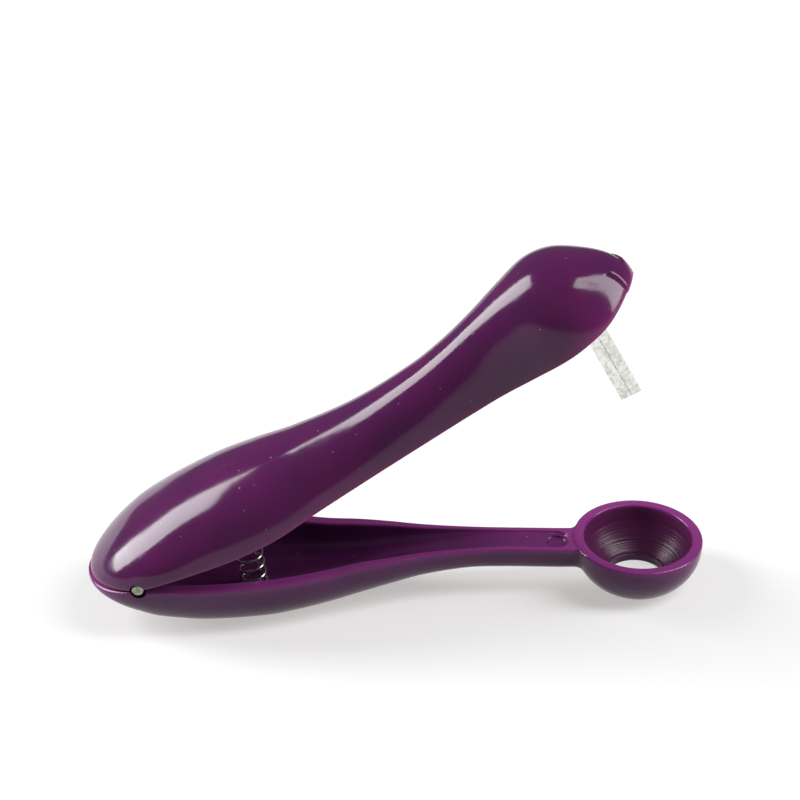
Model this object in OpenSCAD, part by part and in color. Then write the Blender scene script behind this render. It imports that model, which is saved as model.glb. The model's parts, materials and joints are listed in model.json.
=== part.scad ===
// Olive pitter: a lower handle that ends in an olive cup, an upper handle whose
// domed head carries the punch, a steel hinge pin at the heel and a coil spring.
// Sizes are millimetres. Both shells are drawn about the hinge axis (origin), the
// lower one with its cup rim level, the upper one as it lies when squeezed shut.

/* [Layout] */
// Distance from the hinge axis to the centre of the cup
cup_reach = 100.6; // [98:0.1:104]
// Height of the cup's rim above the hinge axis
cup_rim_up = 1; // [0.8:0.1:2]
// Distance from the hinge axis back to the heel of the lower handle
heel_back = 11.1; // [10.5:0.1:12]
// Angle that the upper handle opens from shut to rest
open_deg = 27; // [20:0.5:30]
// Slope of the seam behind the hinge, which stops the opening
heel_deg = 17; // [14:0.5:20]
// Gap left between the two rims where they meet
seam_gap = 0.3; // [0.2:0.05:0.5]

/* [Lower handle] */
// Half width of the lower handle at the heel
low_heel_w = 14.6; // [13.5:0.1:15]
// Half width of the lower handle at its belly
low_belly_w = 13.9; // [13:0.1:14]
// Half width of the lower handle at its neck
low_neck_w = 4.1; // [3.8:0.1:4.8]
// Depth of the lower handle's belly below its rim
low_belly_d = 11.8; // [11:0.1:12.4]
// Depth of the lower handle's neck below its rim
low_neck_d = 6; // [5.4:0.1:6.5]
// Wall of the lower handle at the belly
low_wall = 2.7; // [2:0.1:3]
// Wall of the lower handle beside the neck channel
neck_wall = 1.2; // [1:0.1:1.6]
// Floor of the lower handle at the belly
low_floor = 2; // [1.6:0.1:2.6]
// Depth of the channel along the neck
neck_channel = 0.9; // [0.6:0.1:1.4]
// Radius of the fillet between the neck and the cup
neck_fillet = 2; // [1:0.1:2.5]
// Radius of the ejector mark beside the cup
mark_r = 2.1; // [1.5:0.1:2.4]
// Depth of the ejector mark
mark_d = 0.25; // [0.15:0.05:0.4]

/* [Cup] */
// Inner radius of the cup at its rim
cup_in_r = 11; // [10.5:0.1:11.5]
// Outer radius of the cup at its rim
cup_out_r = 13.15; // [12.9:0.05:13.6]
// Depth of the outer bowl if it had no hole
cup_bowl_d = 12; // [11.5:0.1:13]
// Thickness of the bowl at its bottom
cup_floor = 1.4; // [1.2:0.1:2]
// Radius of the hole that the pit leaves through
pit_hole_r = 5.9; // [5:0.1:6.2]
// Drop from the cup's rim to the flat ring that it stands on
foot_drop = 10.16; // [10:0.02:10.3]

/* [Upper handle] */
// Distance from the hinge axis back to the heel of the upper handle
up_heel_back = 10.7; // [10.2:0.1:11]
// How far the tip of the head reaches past the centre of the cup
head_over = 12.8; // [11.4:0.1:14]
// Half width of the upper handle at its belly
up_belly_w = 15.9; // [15.9:0.1:17]
// Half width of the upper handle at its neck
up_neck_w = 8.5; // [8:0.1:9.5]
// Half width of the head
head_w = 13.5; // [13:0.1:14.5]
// Height of the upper handle's belly
up_belly_h = 12.3; // [11.5:0.1:13]
// Height of the upper handle's neck
up_neck_h = 10.8; // [10:0.1:12]
// Height of the head
head_h = 16; // [15:0.1:17]
// Wall of the upper handle
up_wall = 1.5; // [1.2:0.05:1.5]
// Thickness of the upper handle's crown
up_crown = 2; // [1.6:0.1:2.5]

/* [Hinge] */
// Radius of the hinge pin
pin_r = 1.25; // [1:0.05:1.4]
// Length of the hinge pin
pin_len = 27.6; // [26:0.1:28]
// Running clearance of the pin in the upper lugs, on the radius
pin_run = 0.05; // [0.02:0.01:0.1]
// Clearance of the pin in the notches of the outer walls, on the radius
notch_gap = 0.4; // [0.3:0.05:0.5]
// Radius of the hinge lugs
lug_r = 3; // [2.6:0.1:3.2]
// Thickness of a hinge lug
lug_t = 2.2; // [1.8:0.1:2.6]
// Distance from the middle to the outer face of a lower lug
lug_out = 9.2; // [8.6:0.1:9.6]
// Side gap between an upper and a lower lug
lug_gap = 0.3; // [0.2:0.05:0.5]

/* [Spring] */
// Distance from the hinge axis to the foot of the spring
spring_x = 22.7; // [21:0.1:25]
// Outer radius of the spring
spring_r = 2.85; // [2.6:0.05:3]
// Radius of the spring wire
wire_r = 0.28; // [0.22:0.01:0.32]
// Working turns of the spring
turns = 11; // [8:1:12]
// Lean of the spring towards the hinge
spring_lean = 7; // [5:0.5:9]
// Radius of the spigots that hold the ends of the spring
spigot_r = 1.8; // [1.5:0.1:1.9]
// Height of the spigots
spigot_h = 2.4; // [1.8:0.1:3]

/* [Punch] */
// Width of the punch blade across its fold
punch_w = 4.3; // [3.8:0.1:4.8]
// Thickness of the punch sheet
punch_t = 0.6; // [0.5:0.05:0.8]
// Angle between the two flanks of the folded blade
punch_fold = 168; // [150:1:176]
// How far the tip of the shut punch stands past the centre of the cup
punch_ahead = 1.9; // [0.9:0.1:2.9]
// Drop of the punch tip below the hinge axis when shut
punch_drop = 13.2; // [12:0.1:13.6]
// Tilt of the shut punch from upright
punch_tilt = 1.5; // [0.5:0.1:3]
// Depth that the punch is set into the head's boss
punch_set = 7; // [5:0.5:8]
// Radius of the boss that holds the punch
boss_r = 3.6; // [3.2:0.1:4]
// Depth of the boss below the head's crown
boss_l = 9; // [8:0.5:10]

/* [Hidden] */
plastic = "#5a1f5e";
steel = "silver";

// Distances from the hinge axis along the shut handle: tip of the head, punch
head_reach = cup_reach + head_over;
punch_x = cup_reach + punch_ahead;
// Points across a section, rings in a rounded end, rings between the two ends
section_pts = 17;
end_rings = 7;
span_rings = 26;
// Squareness of the sections and of the cup's outer bowl, 2 being an ellipse
low_square = 2.6;
up_square = 2.15;
bowl_square = 2.2;
// Length over which each end of a shell rounds off
low_heel_round = 14.5;
up_heel_round = 14.1;
head_round = 18.7;
// The lower handle ends inside the cup's wall, its channel a little before it
neck_end = cup_reach - 10.5;
channel_end = cup_reach - 14;
channel_round = 2;
overlap = 0.6;

// Lower handle: [x, half width, rim height, depth, wall, cavity depth]
LOW = [
    [-heel_back, low_heel_w, 0, low_belly_d - 4.8, low_wall, low_belly_d - 4.8 - low_floor],
    [0, low_heel_w - 0.1, -seam_gap / 2, low_belly_d - 2.3, low_wall, low_belly_d - 2.3 - low_floor],
    [5, low_belly_w + 0.2, -0.3, low_belly_d - 0.8, low_wall, low_belly_d - 0.8 - low_floor],
    [13, low_belly_w, -0.6, low_belly_d, low_wall, low_belly_d - low_floor],
    [25, low_belly_w - 1, -0.5, low_belly_d, low_wall, low_belly_d - low_floor],
    [32, low_belly_w - 2.1, -0.2, low_belly_d - 0.7, low_wall, low_belly_d - 0.9 - low_floor],
    [38, low_neck_w + 6.2, cup_rim_up - 0.9, low_neck_d + 4.3, low_wall - 0.1, low_neck_d + 1.7],
    [44, low_neck_w + 4.8, cup_rim_up - 0.3, low_neck_d + 3.4, low_wall - 0.3, low_neck_d + 0.6],
    [50, low_neck_w + 3.4, cup_rim_up, low_neck_d + 2.2, neck_wall + 0.8, low_neck_d - 0.8],
    [57, low_neck_w + 1.7, cup_rim_up + 0.2, low_neck_d + 0.9, neck_wall + 0.4, low_neck_d - 2.7],
    [66, low_neck_w + 0.4, cup_rim_up + 0.3, low_neck_d, neck_wall, neck_channel + 0.8],
    [73, low_neck_w, cup_rim_up + 0.2, low_neck_d, neck_wall, neck_channel],
    [cup_reach - 20, low_neck_w, cup_rim_up - 0.1, low_neck_d, neck_wall, neck_channel],
    [cup_reach - 13.8, low_neck_w, cup_rim_up - 0.3, low_neck_d, neck_wall, neck_channel],
    [neck_end, low_neck_w, cup_rim_up - 0.02, low_neck_d, neck_wall, neck_channel]
];

// Upper handle, lying shut: [s, half width, rim height, height]
UP = [
    [-up_heel_back, up_belly_w - 2.1, 0, up_belly_h - 6.4],
    [0, up_belly_w - 1.1, seam_gap / 2, up_belly_h - 4.7],
    [6, up_belly_w, -0.05, up_belly_h - 3.4],
    [13, up_belly_w, -0.9, up_belly_h - 1.4],
    [22, up_belly_w - 0.2, -1.7, up_belly_h],
    [30, up_belly_w - 1.3, -2, up_belly_h + 0.1],
    [39.5, up_neck_w + 3.7, -1.5, up_neck_h + 0.6],
    [53, up_neck_w + 1.3, -0.5, up_neck_h - 0.1],
    [67, up_neck_w + 0.1, 1.1, up_neck_h + 0.5],
    [75, up_neck_w, 2.3, up_neck_h + 1.6],
    [82, up_neck_w + 0.4, 3.5, up_neck_h + 3.1],
    [head_reach - 24.4, head_w - 2.9, 5, head_h - 0.6],
    [head_reach - 18.4, head_w - 0.9, 6.6, head_h],
    [head_reach - 12.4, head_w, 7.9, head_h - 0.5],
    [head_reach - 6.4, head_w - 0.75, 8.9, head_h - 1.7],
    [head_reach, head_w - 3.1, 11.3, head_h - 3.4]
];

// Slope of column k of table T at row j, then a smooth curve through the rows
function row_slope(T, k, j) =
    let (a = max(j - 1, 0), b = min(j + 1, len(T) - 1))
    (T[b][k] - T[a][k]) / (T[b][0] - T[a][0]);
function row_at(T, x, j = 0) =
    j >= len(T) - 2 || T[j + 1][0] >= x ? j : row_at(T, x, j + 1);
function curve(T, k, x) =
    let (j = row_at(T, x), span = T[j + 1][0] - T[j][0])
    let (t = min(max((x - T[j][0]) / span, 0), 1))
    (2 * pow(t, 3) - 3 * t * t + 1) * T[j][k]
    + (pow(t, 3) - 2 * t * t + t) * span * row_slope(T, k, j)
    + (3 * t * t - 2 * pow(t, 3)) * T[j + 1][k]
    + (pow(t, 3) - t * t) * span * row_slope(T, k, j + 1);

// Height of each rim: it falls away behind the hinge, so that the handles can open
function low_rim(x) = x < 0 ? x * tan(heel_deg) - seam_gap / 2 : curve(LOW, 2, x);
function up_rim(s) =
    s < 0 ? -s * tan(open_deg - heel_deg) + seam_gap / 2 : curve(UP, 2, s);
// Depth or height of column k measured from the rim, which keeps the belly and the
// crown smooth where the rims bend at the hinge
function low_depth(k, x) = curve(LOW, k, x) + low_rim(x) - curve(LOW, 2, x);
function up_height(s) = curve(UP, 3, s) - up_rim(s) + curve(UP, 2, s);

// Share of the full section left where an end rounds off
function round_off(x, end, len) =
    let (u = len - abs(x - end)) u <= 0 ? 1 : sqrt(max(1 - pow(u / len, 2), 0));
// Ring places: closer together in both ends, which round off over la and lb
function ring_places(a, b, la, lb) = concat(
    [for (i = [1:end_rings]) a + la * (1 - cos(90 * i / (end_rings + 1)))],
    [for (i = [0:span_rings]) a + la + (b - lb - a - la) * i / span_rings],
    [for (i = [end_rings:-1:1]) b - lb * (1 - cos(90 * i / (end_rings + 1)))]
);
// Half section from rim to rim, bulging down (side -1) or up (side 1)
function half_section(x, w, rim, h, square, side) = [
    for (i = [0:section_pts - 1])
        let (th = 180 * i / (section_pts - 1), c = cos(th), s = sin(th))
        [
            x,
            -w * sign(c) * pow(abs(c), 2 / square),
            rim + side * h * pow(max(s, 0), 2 / square)
        ]
];

// The neck flares into the cup on a fillet that touches both
fillet_back = sqrt(pow(cup_out_r + neck_fillet, 2) - pow(low_neck_w + neck_fillet, 2));
fillet_len = fillet_back * neck_fillet / (cup_out_r + neck_fillet);
function flare(x) =
    let (t = min(max(x - cup_reach + fillet_back, 0), fillet_len))
    neck_fillet - sqrt(pow(neck_fillet, 2) - t * t);

low_outside = [
    for (x = ring_places(-heel_back, neck_end, low_heel_round, fillet_back - cup_reach + neck_end))
        let (c = round_off(x, -heel_back, low_heel_round), w = curve(LOW, 1, x) + flare(x))
        half_section(x, w * c, low_rim(x), low_depth(3, x) * c, low_square, -1)
];
low_inside = [
    for (x = ring_places(
        low_wall - heel_back, channel_end, low_heel_round - low_wall, channel_round))
        let (c = round_off(x, low_wall - heel_back, low_heel_round - low_wall))
        let (e = round_off(x, channel_end, channel_round))
        half_section(
            x, (curve(LOW, 1, x) - curve(LOW, 4, x)) * c * e, low_rim(x),
            low_depth(5, x) * c * e, low_square, -1)
];
up_outside = [
    for (s = ring_places(-up_heel_back, head_reach, up_heel_round, head_round))
        let (c = round_off(s, -up_heel_back, up_heel_round) * round_off(s, head_reach, head_round))
        half_section(s, curve(UP, 1, s) * c, up_rim(s), up_height(s) * c, up_square, 1)
];
up_inside = [
    for (s = ring_places(
        up_wall - up_heel_back, head_reach - up_wall,
        up_heel_round - up_wall, head_round - up_wall))
        let (c = round_off(s, up_wall - up_heel_back, up_heel_round - up_wall))
        let (e = round_off(s, head_reach - up_wall, head_round - up_wall))
        half_section(
            s, (curve(UP, 1, s) - up_wall) * c * e, up_rim(s),
            (up_height(s) - up_crown) * c * e, up_square, 1)
];

// Closed shell: an outer and an inner skin of paired rings, joined along the rim.
// flip turns the faces outward on a shell that bulges up
function quad(a, b, c, d, flip) = flip ? [[a, b, c], [a, c, d]] : [[a, c, b], [a, d, c]];
function fan(start, count, flip) = [
    for (i = [1:count - 2])
        let (near = start + i, next = near + 1)
        flip ? [start, near, next] : [start, next, near]
];
function skin(start, rings, flip) = [
    for (i = [0:rings - 2], j = [0:section_pts - 2])
        let (o = start + i * section_pts + j, next = o + section_pts)
        each quad(o, o + 1, next + 1, next, flip)
];
module shell(outside, inside, flip) {
    m = section_pts;
    n = len(outside);
    in0 = n * m;
    points = concat([for (r = outside) each r], [for (r = inside) each r]);
    skins = concat(skin(0, n, flip), skin(in0, n, !flip));
    rims = [
        for (i = [0:n - 2])
            let (o = i * m, p = in0 + i * m)
            each concat(
                quad(o, o + m, p + m, p, flip),
                quad(o + m - 1, p + m - 1, p + 2 * m - 1, o + 2 * m - 1, flip))
    ];
    last = (n - 1) * m;
    ends = concat(
        fan(0, m, !flip), fan(last, m, flip),
        fan(in0, m, flip), fan(in0 + last, m, !flip),
        quad(0, in0, in0 + m - 1, m - 1, flip),
        quad(last, last + m - 1, in0 + last + m - 1, in0 + last, flip));
    polyhedron(points, concat(skins, rims, ends));
}
// The space within the middle of a shell's wall, which keeps what is
// fused to the inside of the shell from showing outside it
module core(outside, inside, flip) {
    m = section_pts;
    n = len(outside);
    points = [
        for (i = [0:n - 1], j = [0:m - 1])
            (outside[i][j] + inside[i][j]) / 2
    ];
    lid = [
        for (i = [0:n - 2])
            let (o = i * m)
            each quad(o, o + m, o + 2 * m - 1, o + m - 1, flip)
    ];
    polyhedron(points, concat(skin(0, n, flip), lid, fan(0, m, !flip), fan((n - 1) * m, m, flip)));
}

// The pitter lies on its belly and on the ring below its cup
belly_x = 18;
belly_drop = low_belly_d - low_rim(belly_x);
lie_deg = atan((belly_drop - foot_drop + cup_rim_up) / (cup_reach - belly_x));
function lying_height(p) = p[2] * cos(lie_deg) - p[0] * sin(lie_deg);
floor_down = -min([for (r = low_outside, p = r) lying_height(p)]);
middle_x = ((cup_reach + cup_out_r - heel_back) * cos(lie_deg) + cup_rim_up * sin(lie_deg)) / 2;

module lying() {
    translate([-middle_x, 0, floor_down])
        rotate([0, lie_deg, 0])
            children();
}
module opened() {
    rotate([0, -open_deg, 0])
        children();
}

// Round bar across the handle from y0 to y1, about the hinge axis
module across(r, y0, y1) {
    translate([0, y0, 0])
        rotate([-90, 0, 0])
            cylinder(r = r, h = y1 - y0, $fn = 64);
}
// One pair of lugs: an eye at the hinge axis, and a web to the shell's wall
module lug_eyes(outer) {
    across(lug_r, outer - lug_t, outer);
    across(lug_r, -outer, lug_t - outer);
}
module lug_webs(outer, reach) {
    for (side = [-1, 1])
        translate([-lug_r, side * (outer - lug_t / 2) - lug_t / 2, min(reach, 0)])
            cube([2 * lug_r, lug_t, abs(reach)]);
}
// Half-round notches that clear the pin in the outer walls
notch_from = lug_out + 0.6;
notch_to = up_belly_w + 2;
module pin_notches() {
    across(pin_r + notch_gap, notch_from, notch_to);
    across(pin_r + notch_gap, -notch_to, -notch_from);
}

// Spring seats: the foot on the lower floor, the head under the crown
seat_r = spring_r + 0.5;
seat_t = 0.8;
seat_root = 3;
spring_foot_z = low_rim(spring_x) - curve(LOW, 5, spring_x);
seat_s = spring_x + 3.2;
crown_in = up_rim(seat_s) + curve(UP, 3, seat_s) - up_crown;
seat_span = (crown_in + spring_x * sin(open_deg) - spring_foot_z * cos(open_deg))
    / cos(open_deg - spring_lean);
module at_spring(up = 0) {
    translate([spring_x, 0, spring_foot_z])
        rotate([0, -spring_lean, 0])
            translate([0, 0, up])
                children();
}
module spring_seat() {
    translate([0, 0, -seat_root])
        cylinder(r = seat_r, h = seat_root + seat_t, $fn = 48);
    cylinder(r = spigot_r, h = seat_t + spigot_h, $fn = 48);
}

// Bowl profile: the outer and inner arcs from rim to hole
bowl_steps = 12;
rim_round = 0.5;
function bowl_arc(r, d, hole, lift, square) = [
    for (i = [0:bowl_steps])
        let (a = acos(pow(hole / r, square / 2)) * i / bowl_steps)
        [r * pow(cos(a), 2 / square), -lift - (d - lift) * pow(sin(a), 2 / square)]
];
bowl_outer = bowl_arc(cup_out_r, cup_bowl_d, pit_hole_r, rim_round, bowl_square);
bowl_inner = bowl_arc(cup_in_r, cup_bowl_d - cup_floor, pit_hole_r, 0, 2);
bowl_profile = concat(
    [[cup_out_r - rim_round, 0], [cup_out_r - rim_round * 0.3, -rim_round * 0.3]],
    bowl_outer,
    [for (i = [bowl_steps:-1:0]) bowl_inner[i]]
);
bowl_hollow = concat([[0, overlap], [cup_in_r, overlap]], bowl_inner, [[0, bowl_inner[bowl_steps][1]]]);

module at_cup() {
    translate([cup_reach, 0, cup_rim_up])
        children();
}

mark_x = channel_end - mark_r - 0.6;
module lower_handle() {
    color(plastic)
        lying()
            difference() {
                union() {
                    shell(low_outside, low_inside, false);
                    at_cup()
                        rotate_extrude($fn = 96)
                            polygon(bowl_profile);
                    lug_eyes(lug_out);
                    intersection() {
                        core(low_outside, low_inside, false);
                        union() {
                            lug_webs(lug_out, -low_belly_d);
                            at_spring()
                                spring_seat();
                        }
                    }
                }
                across(pin_r, -lug_out - overlap, lug_out + overlap);
                pin_notches();
                at_cup() {
                    rotate_extrude($fn = 96)
                        polygon(bowl_hollow);
                    translate([0, 0, -cup_bowl_d])
                        cylinder(r = pit_hole_r, h = cup_bowl_d, $fn = 72);
                }
                translate([mark_x, 0, low_rim(mark_x) - neck_channel - mark_d])
                    cylinder(r = mark_r, h = neck_channel + overlap, $fn = 48);
                foot_cut();
            }
}
// Everything under the table plane at the cup
module foot_cut() {
    rotate([0, -lie_deg, 0])
        translate([cup_reach - 2 * cup_in_r, -cup_out_r, -floor_down - cup_bowl_d])
            cube([4 * cup_in_r, 2 * cup_out_r, cup_bowl_d]);
}

// Punch and its boss, about the tip of the punch
dome_s = head_reach - 12.4;
boss_up = up_rim(dome_s) + curve(UP, 3, dome_s) - up_crown - boss_l + punch_drop;
punch_len = boss_up + punch_set;
module at_punch() {
    translate([punch_x, 0, -punch_drop])
        rotate([0, -punch_tilt, 0])
            children();
}
module blade_section() {
    dip = 90 - punch_fold / 2;
    half = punch_w / 2;
    fold_y = half * tan(dip) / 2;
    polygon([
        [-half, fold_y - punch_t / 2], [0, -fold_y - punch_t / 2], [half, fold_y - punch_t / 2],
        [half, fold_y + punch_t / 2], [0, -fold_y + punch_t / 2], [-half, fold_y + punch_t / 2]
    ]);
}

module upper_handle() {
    color(plastic)
        lying()
            difference() {
                union() {
                    opened() {
                        shell(up_outside, up_inside, true);
                        lug_eyes(lug_out - lug_t - lug_gap);
                    }
                    intersection() {
                        opened()
                            core(up_outside, up_inside, true);
                        union() {
                            opened() {
                                lug_webs(lug_out - lug_t - lug_gap, up_belly_h);
                                at_punch()
                                    translate([0, 0, boss_up])
                                        cylinder(r = boss_r, h = boss_l + up_crown, $fn = 48);
                            }
                            at_spring(seat_span)
                                mirror([0, 0, 1])
                                    spring_seat();
                        }
                    }
                }
                opened() {
                    across(pin_r + pin_run, -lug_out, lug_out);
                    pin_notches();
                    at_punch()
                        linear_extrude(punch_len)
                            blade_section();
                }
            }
}

module hinge_pin() {
    color(steel)
        lying()
            across(pin_r, -pin_len / 2, pin_len / 2);
}

// Spring: closer turns at both ends, an even pitch between them
rings_per_turn = 8;
wire_sides = 6;
end_turns = 1;
end_pitch = 2 * wire_r + 0.6;
seat_clear = 0.05;
coil_r = spring_r - wire_r;
coil_turns = turns + 2 * end_turns;
coil_h = seat_span - 2 * (seat_t + seat_clear + wire_r);
work_pitch = (coil_h - 2 * end_turns * end_pitch) / turns;
function coil_rise(t) =
    t < end_turns ? t * end_pitch
    : t > coil_turns - end_turns ? coil_h - (coil_turns - t) * end_pitch
    : end_turns * end_pitch + (t - end_turns) * work_pitch;
function coil_point(t) = [coil_r * cos(360 * t), coil_r * sin(360 * t), coil_rise(t)];
coil_path = [for (i = [0:coil_turns * rings_per_turn]) coil_point(i / rings_per_turn)];
coil_points = [
    for (i = [0:len(coil_path) - 1], j = [0:wire_sides - 1])
        let (a = 360 * i / rings_per_turn, b = 360 * j / wire_sides)
        coil_path[i] + wire_r * [cos(b) * cos(a), cos(b) * sin(a), sin(b)]
];
coil_faces = [
    for (i = [0:len(coil_path) - 2], j = [0:wire_sides - 1])
        let (o = i * wire_sides, k = (j + 1) % wire_sides)
        each quad(o + j, o + wire_sides + j, o + wire_sides + k, o + k, false)
];
// Least gap between one turn and the next, measured between path points
function gap_to_next(i) =
    min([
        for (j = [i + 6:min(i + 10, len(coil_path) - 1)])
            norm(coil_path[j] - coil_path[i])
    ]) - 2 * wire_r;
spring_gap = min([for (i = [0:len(coil_path) - 7]) gap_to_next(i)]);
echo(spring_gap = spring_gap, work_pitch = work_pitch, spring_len = coil_h + 2 * wire_r);

module return_spring() {
    color(steel)
        lying()
            at_spring(seat_t + seat_clear + wire_r)
                polyhedron(
                    coil_points,
                    concat(
                        coil_faces,
                        fan(0, wire_sides, false),
                        fan(len(coil_points) - wire_sides, wire_sides, true)));
}

module punch() {
    color(steel)
        lying()
            opened()
                at_punch()
                    linear_extrude(punch_len)
                        blade_section();
}

lower_handle();
upper_handle();
hinge_pin();
return_spring();
punch();
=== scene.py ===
"""Olive pitter, lying open on its belly and on the ring below its cup.

Sizes are in millimetres about the hinge pin, with the cup's rim level, and lay()
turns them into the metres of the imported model's frame.
"""
import json
import math

import bmesh
import bpy
import numpy as np
from mathutils import Matrix, Quaternion, Vector


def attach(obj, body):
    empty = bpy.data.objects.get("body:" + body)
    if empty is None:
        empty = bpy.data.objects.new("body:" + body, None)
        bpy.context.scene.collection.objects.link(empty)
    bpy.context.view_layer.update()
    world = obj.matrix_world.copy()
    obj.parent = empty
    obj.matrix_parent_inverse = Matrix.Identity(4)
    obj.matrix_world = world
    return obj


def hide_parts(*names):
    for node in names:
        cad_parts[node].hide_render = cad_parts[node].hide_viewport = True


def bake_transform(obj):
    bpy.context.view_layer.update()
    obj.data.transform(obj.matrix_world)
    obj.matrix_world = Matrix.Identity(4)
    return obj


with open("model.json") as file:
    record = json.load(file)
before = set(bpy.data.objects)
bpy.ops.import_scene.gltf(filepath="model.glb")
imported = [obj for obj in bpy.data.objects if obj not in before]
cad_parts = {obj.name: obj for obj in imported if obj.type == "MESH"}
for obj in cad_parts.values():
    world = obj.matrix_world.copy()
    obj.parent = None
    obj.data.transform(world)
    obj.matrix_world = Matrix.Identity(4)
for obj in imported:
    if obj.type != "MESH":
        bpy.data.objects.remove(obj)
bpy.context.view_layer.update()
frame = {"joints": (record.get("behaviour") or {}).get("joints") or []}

# ---------------------------------------------------------------- lower handle
# One moulding of glossy dark purple plastic: a hollow, palm-wide belly, a slim neck
# with a shallow channel, and the round olive cup that the neck flares into. Two lugs
# inside the heel hold the pin, and a spigot on the belly's floor holds the spring.
MM = 0.001
HINGE = np.array(frame["joints"][0]["pos_m"])
LIE = math.radians(2.24974)  # tilt of the whole tool as it lies on the table
OPEN = math.radians(27)
HEEL = math.radians(17)  # slope of the lower rim behind the pin
SEAM_GAP = 0.3

CUP_REACH = 100.6
CUP_RIM_UP = 1.0
CUP_IN_R = 11.0
CUP_OUT_R = 13.15
CUP_DEPTH = 12.0
CUP_FLOOR = 1.4
BOWL_DEPTH = CUP_DEPTH - CUP_FLOOR
CUP_SQUARE = 2.2
CUP_SHOULDER = 0.5
LEDGE_R = 6.45
PIT_HOLE_R = 5.9

LOW_HEEL = -11.1
LOW_WALL = 2.7
NECK_HALF = 4.1
CHANNEL_DEEP = 0.9

# Distance from the pin, half width, rim height, depth, wall, depth of the hollow
LOW_STATIONS = np.array([
    [LOW_HEEL, 14.6, 0, 7, LOW_WALL, 5],
    [0, 14.5, -0.15, 9.5, LOW_WALL, 7.5],
    [5, 14.1, -0.3, 11, LOW_WALL, 9],
    [13, 13.9, -0.6, 11.8, LOW_WALL, 9.8],
    [25, 12.9, -0.5, 11.8, LOW_WALL, 9.8],
    [32, 11.8, -0.2, 11.1, LOW_WALL, 8.9],
    [38, 10.3, 0.1, 10.3, 2.6, 7.7],
    [44, 8.9, 0.7, 9.4, 2.4, 6.6],
    [50, 7.5, 1, 8.2, 2, 5.2],
    [57, 5.8, 1.2, 6.9, 1.6, 3.3],
    [66, 4.5, 1.3, 6, 1.2, 1.7],
    [73, NECK_HALF, 1.2, 6, 1.2, CHANNEL_DEEP],
    [80.6, NECK_HALF, 0.9, 6, 1.2, CHANNEL_DEEP],
    [86.8, NECK_HALF, 0.7, 6, 1.2, CHANNEL_DEEP],
    [90.1, NECK_HALF, 0.98, 6, 1.2, CHANNEL_DEEP],
])
LOW_HEEL_ROUND = 14.5
LOW_SQUARE = 2.6
LOW_LIP = 0.5
LOW_LIP_IN = 0.4
LOW_GROOVE = 0.05
NECK_FILLET = 2.0
NECK_DEEPEST = 9.5
CHANNEL_END = 86.6
CHANNEL_ROUND = 2.6
END_RINGS = 26

# The band that is smoothed where the neck meets the cup, narrower close to the rim
JOINT_SOFT = 1.6
JOINT_PASSES = 14
JOINT_BACK = 8  # it stops this far short of the cup's axis
JOINT_HALF = 8
RIM_BAND_DEEP = 0.62
RIM_BAND_HALF = 5.6
RIM_BAND_IN = 12.2

LUG_R = 3.0
LUG_T = 2.2
LUG_OUT = 9.2
LUG_CHAMFER = 0.25
LOW_WEB = -11.8
PIN_R = 1.25
NOTCH_R = 1.65
NOTCH_IN = LUG_OUT + 0.6
NOTCH_OUT = 18
MARK_R = 2.1
MARK_DEEP = 0.25
MARK_CHAMFER = 0.15
MARK_BACK = 2.7
FOOT_CUT = np.array([0.044, 0.03, 0.01])  # block in metres whose top is the table's plane

SPRING_X = 22.7
SPRING_LEAN = math.radians(7)
SPRING_FOOT = -10.4303
SEAT_R = 3.35
SEAT_T = 0.8
SEAT_ROOT = 3
SEAT_CHAMFER = 0.2
SPIGOT_R = 1.8
SPIGOT_H = 2.4
SPIGOT_TIP = [(0, 0.6), (0.25, 0.15), (0.7, 0)]  # in from the side, down from the top

LOW_BODY = (0.065, 0.0105, 0.064)
# Rim colour: a lighter tone for the flow mottling, also painted glow along the rim, fading out below it
LOW_MOTTLE_AND_GLOW = (0.19, 0.028, 0.16)
EDGE_GLOW = 0.55
# Painted shade inside the bowl: darker and redder
BOWL_PAINTED_SHADE = (0.062, 0.007, 0.038)
RING_SCALE = 3200.0
REFRACTION = 1.5
PLASTIC_MIRROR = 0.3
DUST_GREY = (0.5, 0.45, 0.5, 1)


def turned(points, angle):
    """Points turned about the hinge axis; a positive angle lowers the cup's end."""
    x, y, z = np.asarray(points, float).T
    c, s = math.cos(angle), math.sin(angle)
    return np.stack((x * c + z * s, y, z * c - x * s), 1)


def lay(points, opened=False):
    """Millimetres about the pin to metres in the model's frame."""
    points = turned(points, -OPEN) if opened else points
    return turned(points, LIE) * MM + HINGE


def unlaid(points):
    """Metres in the model's frame to millimetres about the pin."""
    return turned((points - HINGE) / MM, -LIE)


def curve(table, column, x):
    """A column of a station table as a smooth curve through its rows."""
    xs, vs = table[:, 0], table[:, column]
    last = len(xs) - 1
    rows = np.arange(last + 1)
    before, after = np.maximum(rows - 1, 0), np.minimum(rows + 1, last)
    slope = (vs[after] - vs[before]) / (xs[after] - xs[before])
    j = np.clip(np.searchsorted(xs, x, "left") - 1, 0, last - 1)
    span = xs[j + 1] - xs[j]
    t = np.clip((x - xs[j]) / span, 0, 1)
    return ((2 * t**3 - 3 * t**2 + 1) * vs[j] + (t**3 - 2 * t**2 + t) * span * slope[j]
            + (3 * t**2 - 2 * t**3) * vs[j + 1] + (t**3 - t**2) * span * slope[j + 1])


def round_off(x, end, length):
    """Share of the full section left where an end rounds off like an ellipse."""
    u = np.clip(length - abs(x - end), 0, length) / length
    return np.sqrt(np.maximum(1 - u * u, 0))


def ring_places(a, b, round_a, round_b, far=END_RINGS, middle=96):
    """Ring places from a to b, closer together where the ends round off."""
    ends = [1 - np.cos(np.pi / 2 * np.arange(count) / count) for count in (END_RINGS, far)]
    return np.concatenate((a + round_a * ends[0], np.linspace(a + round_a, b - round_b, middle + 1),
                           (b - round_b * ends[1])[::-1]))


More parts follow.
